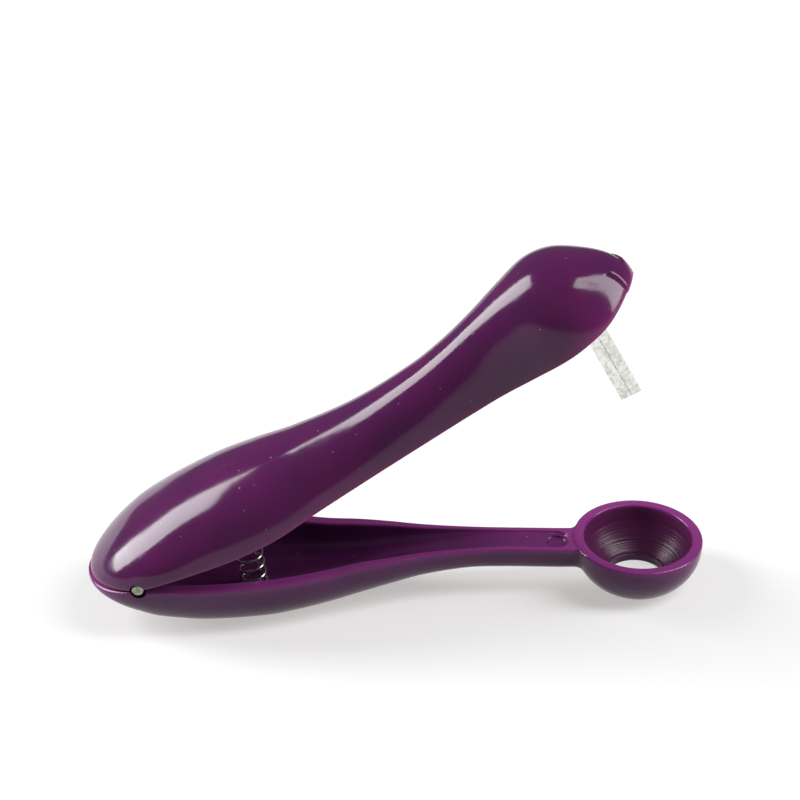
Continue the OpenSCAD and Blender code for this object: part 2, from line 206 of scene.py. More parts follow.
def skin(x, half, deep, lip, square, count=73):
    """Half sections from edge to edge: (x, y, distance from the rim), lip short of it."""
    first = np.arcsin(np.clip(lip / np.maximum(deep, 1e-9), 0, 0.45) ** (square / 2))[:, None]
    angle = first + (np.pi - 2 * first) * np.linspace(0, 1, count)[None]
    c, s = np.cos(angle), np.maximum(np.sin(angle), 0)
    return np.stack((np.broadcast_to(x[:, None], angle.shape),
                     -half[:, None] * np.sign(c) * abs(c) ** (2 / square),
                     deep[:, None] * s ** (2 / square)), 2)


def inward(edge):
    """Unit normals in plan of an edge on the low-y side, towards the middle."""
    mirror = edge * [1, -1, 1]
    ext = np.concatenate((mirror[1:2], edge, mirror[-2:-1]))
    if abs(edge[-1, 1]) > 1e-6:
        ext[-1] = 2 * edge[-1] - edge[-2]
    t = (ext[2:] - ext[:-2])[:, :2]
    t /= np.maximum(np.linalg.norm(t, axis=1), 1e-9)[:, None]
    return np.stack((-t[:, 1], t[:, 0], 0 * t[:, 0]), 1)


def shell_rings(outer, inner, out_lip, in_lip, groove, steps=6, flat=5):
    """Closed rings round a shell's wall: outer skin, rounded edge, flat rim with a faint
    groove, rounded edge, inner skin."""
    n_out, n_in = inward(outer[:, 0]), -inward(inner[:, 0])

    def corner(edge, normal, lip):
        tip = edge[:, 2:3].copy()
        foot = edge * [1, 1, 0]
        a = np.linspace(0, np.pi / 2, steps)
        lip = np.minimum(lip, tip)
        return np.stack([foot + normal * lip * (1 - math.cos(t))
                         + np.array([0, 0, 1]) * tip * (1 - math.sin(t)) for t in a], 1)

    rise = corner(outer[:, 0], n_out, out_lip)
    fall = corner(inner[:, 0], n_in, in_lip)[:, ::-1]
    k = np.linspace(0, 1, flat + 2)[None, 1:-1, None]
    band = rise[:, -1:] * (1 - k) + fall[:, :1] * k
    width = np.linalg.norm(fall[:, 0] - rise[:, -1], axis=1)[:, None]
    band[:, :, 2] += groove * np.clip(width / 1.5, 0, 1) * np.sin(np.pi * k[:, :, 0]) ** 0.5
    side = np.concatenate((rise[:, 1:], band, fall[:, :-1]), 1)
    return np.concatenate((outer, side * [1, -1, 1], inner[:, ::-1], side[:, ::-1]), 1)


def solid(name, verts, faces):
    """A mesh with its doubles merged and its faces outwards."""
    mesh = bpy.data.meshes.new(name)
    mesh.from_pydata([tuple(v) for v in np.asarray(verts, float)], [], faces)
    bm = bmesh.new()
    bm.from_mesh(mesh)
    bmesh.ops.remove_doubles(bm, verts=bm.verts, dist=2e-4)
    bmesh.ops.dissolve_degenerate(bm, edges=bm.edges, dist=1e-4)
    bmesh.ops.recalc_face_normals(bm, faces=bm.faces)
    if bm.calc_volume(signed=True) < 0:
        bmesh.ops.reverse_faces(bm, faces=bm.faces)
    bm.to_mesh(mesh)
    bm.free()
    return mesh


def ring_mesh(name, rings, caps=(False, False)):
    """A mesh through closed rings of points, with a cap on the first and last if asked."""
    n, m = rings.shape[:2]
    verts = rings.reshape(-1, 3)
    faces = [(i * m + j, i * m + (j + 1) % m, (i + 1) * m + (j + 1) % m, (i + 1) * m + j)
             for i in range(n - 1) for j in range(m)]
    if caps[0]:
        faces.append(tuple(range(m))[::-1])
    if caps[1]:
        faces.append(tuple(range((n - 1) * m, n * m)))
    return solid(name, verts, faces)


def revolved(name, profile, sides=144):
    """A closed profile of (radius, height) turned about the upright axis."""
    profile = np.asarray(profile, float)
    a = 2 * np.pi * np.arange(sides) / sides
    rings = np.stack((np.outer(np.cos(a), profile[:, 0]), np.outer(np.sin(a), profile[:, 0]),
                      np.broadcast_to(profile[:, 1], (sides, len(profile)))), 2)
    rings = np.concatenate((rings, rings[:1]))
    return ring_mesh(name, rings)


def points_of(mesh):
    """A mesh's points as an (n, 3) array."""
    co = np.zeros(len(mesh.vertices) * 3, np.float32)
    mesh.vertices.foreach_get("co", co)
    return co.reshape(-1, 3)


def placed(mesh, move):
    """Moves a mesh's own points with a function of an (n, 3) array."""
    mesh.vertices.foreach_set("co", np.asarray(move(points_of(mesh)), np.float32).ravel())
    mesh.update()
    return mesh


def piece(mesh):
    """A new object for a mesh, at the origin."""
    ob = bpy.data.objects.new(mesh.name, mesh)
    bpy.context.scene.collection.objects.link(ob)
    return ob


def made_plain(ob):
    """The mesh that an object's modifiers give, with the modifiers removed."""
    bpy.context.view_layer.update()
    seen_now = ob.evaluated_get(bpy.context.evaluated_depsgraph_get())
    ob.data = bpy.data.meshes.new_from_object(seen_now)
    ob.modifiers.clear()
    return ob.data


def combine(ob, other, how):
    """Joins, cuts or keeps the overlap of two closed meshes, and drops the second."""
    join = ob.modifiers.new("join", "BOOLEAN")
    join.operation = how
    join.object = other
    join.solver = "MANIFOLD"
    made_plain(ob)
    bpy.data.objects.remove(other)
    return ob


def cylinder_y(name, radius, y0, y1, chamfer=0.0):
    """Round bar across the handle, about the hinge axis."""
    flat_r = radius - chamfer
    profile = [(0, y0), (flat_r, y0), (radius, y0 + chamfer), (radius, y1 - chamfer), (flat_r, y1), (0, y1)]
    bar = revolved(name, profile, 96)
    return placed(bar, lambda p: p[:, [0, 2, 1]] * [1, 1, -1])


def lug(y0, reach):
    """One hinge lug: a rounded eye at the pin and a web that runs to the shell's wall."""
    a = np.linspace(0, np.pi, 33) * (1 if reach < 0 else -1)
    outline = [(LUG_R * math.cos(t), LUG_R * math.sin(t)) for t in a] + [(-LUG_R, reach), (LUG_R, reach)]
    shrink = 1 - LUG_CHAMFER / LUG_R
    inner = [(x * shrink, z * shrink if z * reach < 0 else z) for x, z in outline]
    y1 = y0 + LUG_T
    rows = [(inner, y0), (outline, y0 + LUG_CHAMFER), (outline, y1 - LUG_CHAMFER), (inner, y1)]
    rings = np.array([[(x, y, z) for x, z in row] for row, y in rows])
    return ring_mesh("lug", rings, caps=(True, True))


def lug_eye(y0):
    """The round eye of a lug, which the web runs into."""
    return cylinder_y("eye", LUG_R, y0, y0 + LUG_T, chamfer=LUG_CHAMFER)


def spring_seat(up):
    """Pad and round-topped spigot that hold one end of the spring; up is 1 or -1."""
    top = SEAT_T + SPIGOT_H
    profile = [(0, -SEAT_ROOT), (SEAT_R, -SEAT_ROOT), (SEAT_R, SEAT_T - SEAT_CHAMFER),
               (SEAT_R - SEAT_CHAMFER, SEAT_T), (SPIGOT_R, SEAT_T)]
    profile += [(SPIGOT_R - aside, top - down) for aside, down in SPIGOT_TIP] + [(0, top)]
    return revolved("seat", [(r, z * up) for r, z in profile], 72)


def at_spring(points, up=0.0):
    """From the spring's own axis to the hinge axis."""
    moved = turned(np.asarray(points, float) + [0, 0, up], -SPRING_LEAN)
    return moved + [SPRING_X, 0, SPRING_FOOT]


def low_rim(x):
    """Height of the lower handle's rim, which drops away behind the pin."""
    return np.where(x < 0, x * math.tan(HEEL) - SEAM_GAP / 2, curve(LOW_STATIONS, 2, x))


def low_depth(column, x):
    """Depth from the rim, which keeps the belly smooth where the rim bends at the hinge."""
    return curve(LOW_STATIONS, column, x) + low_rim(x) - curve(LOW_STATIONS, 2, x)


fillet_back = math.sqrt((CUP_OUT_R + NECK_FILLET) ** 2 - (NECK_HALF + NECK_FILLET) ** 2)
fillet_len = fillet_back * NECK_FILLET / (CUP_OUT_R + NECK_FILLET)


def flare(x):
    """How much the neck widens on its way into the cup."""
    t = np.clip(x - CUP_REACH + fillet_back, 0, fillet_len)
    return NECK_FILLET - np.sqrt(NECK_FILLET**2 - t * t)


neck_stop = CUP_REACH - fillet_back + fillet_len + 0.03
out_x = ring_places(LOW_HEEL, neck_stop, LOW_HEEL_ROUND, fillet_back - CUP_REACH + neck_stop)
out_round = round_off(out_x, LOW_HEEL, LOW_HEEL_ROUND)
out_half = curve(LOW_STATIONS, 1, out_x)
out_deep = low_depth(3, out_x) * out_round
low_outer = skin(out_x, (out_half + flare(out_x)) * out_round, out_deep, LOW_LIP, LOW_SQUARE)

in_x = ring_places(LOW_WALL + LOW_HEEL, CHANNEL_END, LOW_HEEL_ROUND - LOW_WALL, CHANNEL_ROUND)
in_round = round_off(in_x, LOW_WALL + LOW_HEEL, LOW_HEEL_ROUND - LOW_WALL)
in_round = in_round * round_off(in_x, CHANNEL_END, CHANNEL_ROUND)
in_half = (curve(LOW_STATIONS, 1, in_x) - curve(LOW_STATIONS, 4, in_x)) * in_round
low_inner = skin(in_x, in_half, low_depth(5, in_x) * in_round, LOW_LIP_IN, LOW_SQUARE)


def fixed_rings(rings, rim, side):
    """Rings of (x, y, distance from the rim) to real heights; side is 1 above, -1 below."""
    p = rings.reshape(-1, 3)
    return np.stack((p[:, 0], p[:, 1], rim(p[:, 0]) + side * p[:, 2]), 1).reshape(rings.shape)


tray = shell_rings(low_outer, low_inner, LOW_LIP, LOW_LIP_IN, LOW_GROOVE)
# One more ring bends to the middle of the cup's wall, so that the neck runs into it
neck_ring = tray[-1].copy()
below = np.clip(neck_ring[:, 2], 0, NECK_DEEPEST)
outer_reach = CUP_OUT_R * (1 - (below / CUP_DEPTH) ** CUP_SQUARE) ** (1 / CUP_SQUARE)
reach = (outer_reach + CUP_IN_R * np.sqrt(1 - (below / BOWL_DEPTH) ** 2)) / 2
is_outer = neck_ring[:, 0] > neck_stop - 0.01
neck_ring[:, 0] = np.where(is_outer, CUP_REACH - np.sqrt(reach**2 - neck_ring[:, 1] ** 2), neck_ring[:, 0])
tray = fixed_rings(np.concatenate((tray, neck_ring[None])), low_rim, -1)
lower = piece(ring_mesh("lower_shell", tray, caps=(False, True)))

# The cup's profile: rim, outer bowl, pit hole, ledge and inner bowl
inside_end = math.acos(LEDGE_R / CUP_IN_R)
inside = [(CUP_IN_R * math.cos(a), -BOWL_DEPTH * math.sin(a)) for a in np.linspace(0.04, inside_end, 34)]
outside_end = math.acos((PIT_HOLE_R / CUP_OUT_R) ** (CUP_SQUARE / 2))
outside = [(CUP_OUT_R * math.cos(a) ** (2 / CUP_SQUARE),
            -CUP_SHOULDER - (CUP_DEPTH - CUP_SHOULDER) * math.sin(a) ** (2 / CUP_SQUARE))
           for a in np.linspace(0, outside_end, 48)]
quarter = np.linspace(0, math.pi / 2, 7)
rim_out = [(CUP_OUT_R - LOW_LIP + LOW_LIP * math.sin(a), -LOW_LIP + LOW_LIP * math.cos(a))
           for a in quarter[:-1]]
rim_in = [(CUP_IN_R + LOW_LIP_IN - LOW_LIP_IN * math.sin(a), -LOW_LIP_IN + LOW_LIP_IN * math.cos(a))
          for a in quarter[::-1]]
ledge = inside[-1][1]
hole = [(6.4, ledge - 0.06), (6.34, ledge - 0.2),
        (PIT_HOLE_R + 0.15, ledge - 0.26), (PIT_HOLE_R, ledge - 0.4)]
cup = revolved("cup", rim_out + outside + hole[::-1] + inside[::-1] + rim_in)
placed(cup, lambda p: p + [CUP_REACH, 0, CUP_RIM_UP])
combine(lower, piece(cup), "UNION")


def at_joint(co):
    """Whether a point lies on the band where the neck meets the cup."""
    away = math.hypot(co.x - CUP_REACH, co.y)
    level = CUP_RIM_UP - co.z
    bowl_r = CUP_OUT_R * max(1 - (max(level, 0) / CUP_DEPTH) ** CUP_SQUARE, 0) ** (1 / CUP_SQUARE)
    if co.x >= CUP_REACH - JOINT_BACK:
        return False
    if level < RIM_BAND_DEEP:
        return abs(co.y) < RIM_BAND_HALF and RIM_BAND_IN < away < CUP_OUT_R + 1
    return abs(co.y) < JOINT_HALF and -0.3 < away - bowl_r < JOINT_SOFT


# The neck runs into the bowl without a crease
softened = bmesh.new()
softened.from_mesh(lower.data)
bmesh.ops.triangulate(softened, faces=[f for f in softened.faces if len(f.verts) > 4])
band = [v for v in softened.verts if at_joint(v.co)]
for _ in range(JOINT_PASSES):
    bmesh.ops.smooth_vert(softened, verts=band, factor=0.5, use_axis_x=True, use_axis_y=True,
                          use_axis_z=True)
softened.to_mesh(lower.data)
softened.free()


def inner_parts(meshes, rings, rim, side):
    """Joins the fittings of a shell, trimmed by the space inside its middle skin."""
    space = piece(ring_mesh("space", fixed_rings(rings, rim, side), caps=(True, True)))
    parts = piece(meshes[0])
    for other in meshes[1:]:
        combine(parts, piece(other), "UNION")
    return combine(parts, space, "INTERSECT")


# What is fused inside the hollow is kept within the middle of the wall
short = slice(0, -END_RINGS)
outer_core = skin(out_x[short], (out_half * out_round)[short], out_deep[short], 0.0, LOW_SQUARE)
inner_core = skin(in_x[short], low_inner[short, :, 1].max(1), low_inner[short, :, 2].max(1), 0.0, LOW_SQUARE)
middle_skin = (outer_core + inner_core) / 2
lug_places = (LUG_OUT - LUG_T, -LUG_OUT)
webs = [lug(y0, LOW_WEB) for y0 in lug_places]
seat = placed(spring_seat(1), at_spring)
combine(lower, inner_parts(webs + [seat], middle_skin, low_rim, -1), "UNION")
for y0 in lug_places:
    combine(lower, piece(lug_eye(y0)), "UNION")
combine(lower, piece(cylinder_y("bore", PIN_R, -NOTCH_IN, NOTCH_IN)), "DIFFERENCE")


def cut_notches(ob):
    """Half-round notches in both outer walls, which the pin's ends stand in."""
    for y0, y1 in ((NOTCH_IN, NOTCH_OUT), (-NOTCH_OUT, -NOTCH_IN)):
        combine(ob, piece(cylinder_y("notch", NOTCH_R, y0, y1)), "DIFFERENCE")


cut_notches(lower)

# The round mark of the mould's ejector, and the flat foot that the cup stands on
mark_x = CHANNEL_END - MARK_BACK
mark = revolved("mark", [(0, -MARK_DEEP), (MARK_R - MARK_CHAMFER, -MARK_DEEP),
                         (MARK_R, MARK_CHAMFER - MARK_DEEP), (MARK_R, 2), (0, 2)], 72)
channel_floor = float(low_rim(np.array([mark_x]))[0]) - CHANNEL_DEEP
combine(lower, piece(placed(mark, lambda p: p + [mark_x, 0, channel_floor])), "DIFFERENCE")
placed(lower.data, lay)
table_top = bpy.data.meshes.new("table_top")
block = bmesh.new()
bmesh.ops.create_cube(block, size=1)
block.to_mesh(table_top)
block.free()
cup_centre = lay([[CUP_REACH, 0, 0]])[0]
placed(table_top, lambda p: p * FOOT_CUT + [cup_centre[0], 0, -FOOT_CUT[2] / 2])
combine(lower, piece(table_top), "DIFFERENCE")


def finish_mesh(ob, name, angle=34):
    """Names a finished piece, shades it smooth with its hard edges kept."""
    ob.name = name
    ob.data.name = name
    ob.data.materials.clear()
    ob.data.polygons.foreach_set("use_smooth", [True] * len(ob.data.polygons))
    ob.data.set_sharp_from_angle(angle=math.radians(angle))


def point_mask(ob, name, share):
    """Keeps on each point a share from 0 to 1 that the material reads by its name."""
    value = np.clip(share(points_of(ob.data).astype(float)), 0, 1)
    ob.data.attributes.new(name, "FLOAT", "POINT").data.foreach_set("value", value.astype(np.float32))


def low_glow_share(p):
    """Share of painted glow: 1 at the lower handle's rim, fading out below it."""
    q = unlaid(p)
    at_cup = np.hypot(q[:, 0] - CUP_REACH, q[:, 1])
    tray_rim = low_rim(np.clip(q[:, 0], -12, LOW_STATIONS[-1, 0]))
    rim = np.where(at_cup < CUP_OUT_R + 0.3, CUP_RIM_UP, tray_rim)
    return np.exp(-np.maximum(rim - q[:, 2], 0) / EDGE_GLOW)


def low_bowl(p):
    """1 inside the cup's bowl, 0 elsewhere."""
    q = unlaid(p)
    away, level = np.hypot(q[:, 0] - CUP_REACH, q[:, 1]), CUP_RIM_UP - q[:, 2]
    bowl_r = CUP_IN_R * np.sqrt(np.clip(1 - (level / BOWL_DEPTH) ** 2, 0, 1))
    return (away < bowl_r + 0.15) * np.clip(level - 0.3, 0, 1)


finish_mesh(lower, "lower_handle_moulding")
# Shares on the points: painted glow at the rim, and the bowl with its painted shade and rings
point_mask(lower, "edge", low_glow_share)
point_mask(lower, "bowl", low_bowl)


def group_frame(name, inputs, outputs):
    """An empty shader group with its named inputs (name, kind, default) and outputs."""
    tree = bpy.data.node_groups.new(name, "ShaderNodeTree")
    for label, kind, default in inputs:
        socket = tree.interface.new_socket(label, in_out="INPUT", socket_type=kind)
        socket.default_value = default
    for label, kind in outputs:
        tree.interface.new_socket(label, in_out="OUTPUT", socket_type=kind)
    return tree, tree.nodes.new("NodeGroupInput").outputs, tree.nodes.new("NodeGroupOutput").inputs


def node(tree, kind, links=None, **values):
    """A node with its settings, and its sockets set or linked by name or number."""
    made = tree.nodes.new(kind)
    for key, value in values.items():
        setattr(made, key, value)
    for key, value in (links or {}).items():
        socket = made.inputs[key]
        if isinstance(value, bpy.types.NodeSocket):
            tree.links.new(value, socket)
        else:
            socket.default_value = value
    return made


def maths(tree, operation, a, b=0.0, clamp=False):
    """One arithmetic step between two values or sockets."""
    return node(tree, "ShaderNodeMath", {0: a, 1: b}, operation=operation, use_clamp=clamp).outputs[0]


def fade(tree, value, low, high, to_low=0.0, to_high=1.0):
    """A value carried from one range to another, held at both ends."""
    links = {"Value": value, "From Min": low, "From Max": high, "To Min": to_low, "To Max": to_high}
    return node(tree, "ShaderNodeMapRange", links).outputs[0]


def noise(tree, vector, scale, detail=2.0, rough=0.5):
    """Soft noise from 0 to 1 at a place."""
    links = {"Vector": vector, "Scale": scale, "Detail": detail, "Roughness": rough}
    return node(tree, "ShaderNodeTexNoise", links).outputs["Fac"]


def blend_colour(tree, share, first, second):
    """The first colour at a share of 0, the second at 1."""
    return node(tree, "ShaderNodeMix", {"Factor": share, 6: first, 7: second}, data_type="RGBA").outputs[2]


SURFACE = [("Colour", "NodeSocketColor"), ("Roughness", "NodeSocketFloat"), ("Height", "NodeSocketFloat")]

# Fine handling scratches: long thin streaks of noise that come and go over the surface
scratches, takes, gives = group_frame("fine_scratches", [
    ("Position", "NodeSocketVector", (0, 0, 0)),
    ("Direction", "NodeSocketVector", (0, 0, 0)),
    ("Spacing", "NodeSocketFloat", 700.0),
    ("Amount", "NodeSocketFloat", 0.5),
], [("Scratch", "NodeSocketFloat")])
turn = node(scratches, "ShaderNodeMapping", {
    "Vector": takes["Position"], "Rotation": takes["Direction"], "Scale": (0.05, 1.0, 1.0)}).outputs[0]
lines = noise(scratches, turn, takes["Spacing"], 3.0, 0.6)
patch = noise(scratches, takes["Position"], 90.0, 2.0)
mask = maths(scratches, "MULTIPLY", fade(scratches, lines, 0.6, 0.72), fade(scratches, patch, 0.42, 0.6))
scratches.links.new(maths(scratches, "MULTIPLY", mask, takes["Amount"]), gives["Scratch"])

# Glossy moulded plastic: deep colour, a painted glow that brightens it where the wall thins out to an edge,
# flow mottling, dust specks, handling haze and the faint orange peel of the tool
moulded, takes, gives = group_frame("moulded_gloss", [
    ("Body", "NodeSocketColor", (0.1, 0.02, 0.1, 1)),
    ("Mottle and painted glow", "NodeSocketColor", (0.3, 0.05, 0.25, 1)),
    ("Edge", "NodeSocketFloat", 0.0),
    ("Haze", "NodeSocketFloat", 0.14),
    ("Dust", "NodeSocketFloat", 0.5),
], SURFACE)
where = node(moulded, "ShaderNodeTexCoord").outputs["Object"]
flow = noise(moulded, where, 60.0, 3.0)
deep = blend_colour(moulded, fade(moulded, flow, 0.35, 0.65, 0.0, 0.22), takes["Body"], takes["Mottle and painted glow"])
# Painted glow: the rims take the lighter colour, as if light came through the thin wall
painted_glow_mixed = blend_colour(moulded, takes["Edge"], deep, takes["Mottle and painted glow"])
speck = node(moulded, "ShaderNodeTexVoronoi", {"Vector": where, "Scale": 420.0}, feature="F1")
few = noise(moulded, where, 260.0, 1.0)
dust = maths(moulded, "MULTIPLY", fade(moulded, speck.outputs["Distance"], 0.075, 0.035),
             fade(moulded, few, 0.5, 0.58))
dust = maths(moulded, "MULTIPLY", dust, takes["Dust"])
dusty = blend_colour(moulded, maths(moulded, "MULTIPLY", dust, 0.5), painted_glow_mixed, DUST_GREY)
moulded.links.new(dusty, gives["Colour"])
haze = fade(moulded, noise(moulded, where, 140.0, 4.0, 0.6), 0.3, 0.7, -0.035, 0.045)
marks = node(moulded, "ShaderNodeGroup", {
    "Position": where, "Direction": (0.3, 0.2, 0.5), "Spacing": 900.0, "Amount": 0.16,
}, node_tree=scratches).outputs[0]
rough = maths(moulded, "ADD", maths(moulded, "ADD", takes["Haze"], haze), marks)
rough = maths(moulded, "ADD", rough, maths(moulded, "MULTIPLY", dust, 0.3), clamp=True)
moulded.links.new(rough, gives["Roughness"])
peel = maths(moulded, "MULTIPLY", noise(moulded, where, 320.0, 1.0), 0.25)
fine = maths(moulded, "MULTIPLY", noise(moulded, where, 2600.0, 2.0), 0.03)
relief = maths(moulded, "ADD", maths(moulded, "ADD", peel, fine), maths(moulded, "MULTIPLY", dust, 0.3))
moulded.links.new(relief, gives["Height"])


def shaded(name, base, metallic, mirror=0.5):
    """A material of one base colour; returns it, its Principled shader and its node tree."""
    material = bpy.data.materials.new(name)
    material.use_nodes = True
    shader = material.node_tree.nodes["Principled BSDF"]
    shader.inputs["Base Color"].default_value = (*base, 1)
    shader.inputs["Metallic"].default_value = metallic
    shader.inputs["IOR"].default_value = REFRACTION
    shader.inputs["Specular IOR Level"].default_value = mirror
    material.diffuse_color = (*base, 1)
    return material, shader, material.node_tree


def wear(tree, shader, look, strength, distance):
    """Feeds the shader from a surface group, its height through a bump; returns the bump."""
    bump = node(tree, "ShaderNodeBump", {
        "Height": look.outputs["Height"], "Strength": strength, "Distance": distance})
    tree.links.new(look.outputs["Colour"], shader.inputs["Base Color"])
    tree.links.new(look.outputs["Roughness"], shader.inputs["Roughness"])
    tree.links.new(bump.outputs[0], shader.inputs["Normal"])
    return bump


def plastic(name, body, mottle_and_glow, haze, dust):
    """Moulded purple plastic with its own depth of colour, painted glow on its rims, haze and dust."""
    material, shader, tree = shaded(name, body, metallic=0.0, mirror=PLASTIC_MIRROR)
    # The share of painted rim glow, kept on the mesh's points
    edge = node(tree, "ShaderNodeAttribute", attribute_name="edge").outputs["Fac"]
    look = node(tree, "ShaderNodeGroup", {
        "Body": (*body, 1), "Mottle and painted glow": (*mottle_and_glow, 1), "Edge": edge, "Haze": haze, "Dust": dust,
    }, node_tree=moulded)
    return material, shader, look, wear(tree, shader, look, strength=0.22, distance=0.0004)


lower_plastic, shader, look, bump = plastic("purple_plastic_lower", LOW_BODY, LOW_MOTTLE_AND_GLOW, haze=0.17, dust=0.5)
tree = lower_plastic.node_tree
# The bowl was turned in the tool: satin, with fine rings round its axis; its colour is painted shade, darker
# and redder
bowl = node(tree, "ShaderNodeAttribute", attribute_name="bowl").outputs["Fac"]
where = node(tree, "ShaderNodeTexCoord").outputs["Object"]
from_axis = node(tree, "ShaderNodeVectorMath", {0: where, 1: tuple(cup_centre)}, operation="SUBTRACT")
flat = node(tree, "ShaderNodeVectorMath", {0: from_axis.outputs[0], 1: (1, 1, 0)}, operation="MULTIPLY")
radius = node(tree, "ShaderNodeVectorMath", {0: flat.outputs[0]}, operation="LENGTH").outputs["Value"]
rings = node(tree, "ShaderNodeTexNoise", {"W": radius, "Scale": RING_SCALE, "Detail": 3.0},
             noise_dimensions="1D")
ring_height = maths(tree, "MULTIPLY", rings.outputs["Fac"], bowl)
satin = maths(tree, "ADD", look.outputs["Roughness"], maths(tree, "MULTIPLY", bowl, 0.07))
satin = maths(tree, "ADD", satin, maths(tree, "MULTIPLY", ring_height, 0.16), clamp=True)
# Painted shade: the bowl darker and redder
bowl_shaded = blend_colour(tree, maths(tree, "MULTIPLY", bowl, 0.75), look.outputs["Colour"], (*BOWL_PAINTED_SHADE, 1))
height = maths(tree, "ADD", look.outputs["Height"], maths(tree, "MULTIPLY", ring_height, 1.4))
tree.links.new(height, bump.inputs["Height"])
tree.links.new(satin, shader.inputs["Roughness"])
tree.links.new(bowl_shaded, shader.inputs["Base Color"])
lower.data.materials.append(lower_plastic)
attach(lower, "lower")
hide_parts("lower_handle")

# ------------------------------------------------------------------- spring
# A compression spring of bright steel wire, wound with one close turn at each end. It
# stands on the spigot in the belly and pushes the handles open; it is only set in place.
WIRE_R = 0.28
COIL_R = 2.57
TURNS = 11.0
STEPS = 36
END_PITCH = 1.16
SEAT_SPAN = 29.9735
SEAT_CLEAR = 0.05
foot_up = SEAT_T + SEAT_CLEAR + WIRE_R
WIRE_BRIGHT = (0.74, 0.73, 0.7)
WIRE_DULL = (0.36, 0.35, 0.33)

coil = bpy.data.node_groups.new("wound_spring", "GeometryNodeTree")
for label, kind in (("Geometry", "Geometry"), ("Coil radius", "Float"), ("Wire radius", "Float"),
                    ("Working turns", "Float"), ("Height", "Float"), ("End pitch", "Float"),
                    ("Steps per turn", "Int"), ("Wire", "Material")):
    coil.interface.new_socket(label, in_out="INPUT", socket_type="NodeSocket" + kind)
coil.interface.new_socket("Geometry", in_out="OUTPUT", socket_type="NodeSocketGeometry")
takes = coil.nodes.new("NodeGroupInput").outputs
gives = coil.nodes.new("NodeGroupOutput").inputs
turns = takes["Working turns"]
all_turns = maths(coil, "ADD", turns, 2.0)
steps = maths(coil, "MULTIPLY", all_turns, takes["Steps per turn"])
line = node(coil, "GeometryNodeMeshLine", {"Count": maths(coil, "ADD", steps, 1.0)})
index = node(coil, "GeometryNodeInputIndex").outputs[0]
turn_now = maths(coil, "DIVIDE", index, takes["Steps per turn"])
angle = maths(coil, "MULTIPLY", turn_now, 2 * math.pi)
working = maths(coil, "SUBTRACT", takes["Height"], maths(coil, "MULTIPLY", takes["End pitch"], 2.0))
foot_rise = fade(coil, turn_now, 0.0, 1.0, 0.0, takes["End pitch"])
work_rise = fade(coil, turn_now, 1.0, maths(coil, "ADD", turns, 1.0), 0.0, working)
head_rise = fade(coil, turn_now, maths(coil, "ADD", turns, 1.0), all_turns, 0.0, takes["End pitch"])
rise = maths(coil, "ADD", maths(coil, "ADD", foot_rise, work_rise), head_rise)
spot = node(coil, "ShaderNodeCombineXYZ", {
    0: maths(coil, "MULTIPLY", maths(coil, "COSINE", angle), takes["Coil radius"]),
    1: maths(coil, "MULTIPLY", maths(coil, "SINE", angle), takes["Coil radius"]),
    2: rise,
})
moved = node(coil, "GeometryNodeSetPosition", {"Geometry": line.outputs[0], "Position": spot.outputs[0]})
path = node(coil, "GeometryNodeMeshToCurve", {0: moved.outputs[0]})
ring = node(coil, "GeometryNodeCurvePrimitiveCircle", {"Resolution": 14, "Radius": takes["Wire radius"]})
tube = node(coil, "GeometryNodeCurveToMesh", {0: path.outputs[0], 1: ring.outputs[0], "Fill Caps": True})
whole = node(coil, "GeometryNodeRealizeInstances", {0: tube.outputs[0]})
dressed = node(coil, "GeometryNodeSetMaterial", {0: whole.outputs[0], "Material": takes["Wire"]})
coil.links.new(dressed.outputs[0], gives[0])

# Steel that reads as itself: a pale or bright base broken up by rolling or drawing
# lines, smudges that dull it, and the handling scratches
steel_skin, takes, gives = group_frame("worked_steel", [
    ("Base", "NodeSocketColor", (0.7, 0.7, 0.7, 1)),
    ("Dull", "NodeSocketColor", (0.5, 0.5, 0.5, 1)),
    ("Grain scale", "NodeSocketVector", (1, 1, 1)),
    ("Smudge size", "NodeSocketFloat", 200.0),
    ("Gloss", "NodeSocketFloat", 0.25),
], SURFACE)
where = node(steel_skin, "ShaderNodeTexCoord").outputs["Object"]
stretched = node(steel_skin, "ShaderNodeMapping", {"Vector": where, "Scale": takes["Grain scale"]}).outputs[0]
grain = noise(steel_skin, stretched, 1.0, 4.0, 0.65)
smudge = noise(steel_skin, where, takes["Smudge size"], 4.0, 0.6)
worn = node(steel_skin, "ShaderNodeGroup", {
    "Position": where, "Direction": (0.2, 1.3, 0.4), "Spacing": 1500.0, "Amount": 0.5,
}, node_tree=scratches).outputs[0]
blotch = maths(steel_skin, "ADD", fade(steel_skin, smudge, 0.42, 0.66, 0.0, 0.8),
               fade(steel_skin, grain, 0.4, 0.7, 0.0, 0.35), clamp=True)
steel_skin.links.new(blend_colour(steel_skin, blotch, takes["Base"], takes["Dull"]), gives["Colour"])
steel_rough = maths(steel_skin, "ADD", takes["Gloss"], maths(steel_skin, "MULTIPLY", blotch, 0.16))
steel_rough = maths(steel_skin, "ADD", steel_rough, maths(steel_skin, "MULTIPLY", worn, 0.15), clamp=True)
steel_skin.links.new(steel_rough, gives["Roughness"])
steel_relief = maths(steel_skin, "SUBTRACT", grain, maths(steel_skin, "MULTIPLY", worn, 0.6))
steel_skin.links.new(steel_relief, gives["Height"])


def steel(name, base, dull, grain_scale, smudge_size, gloss, relief):
    """Steel with its own tone, grain direction and gloss."""
    material, shader, tree = shaded(name, base, metallic=1.0)
    look = node(tree, "ShaderNodeGroup", {
        "Base": (*base, 1), "Dull": (*dull, 1), "Grain scale": grain_scale,
        "Smudge size": smudge_size, "Gloss": gloss,
    }, node_tree=steel_skin)
    wear(tree, shader, look, strength=relief, distance=0.0001)
    return material


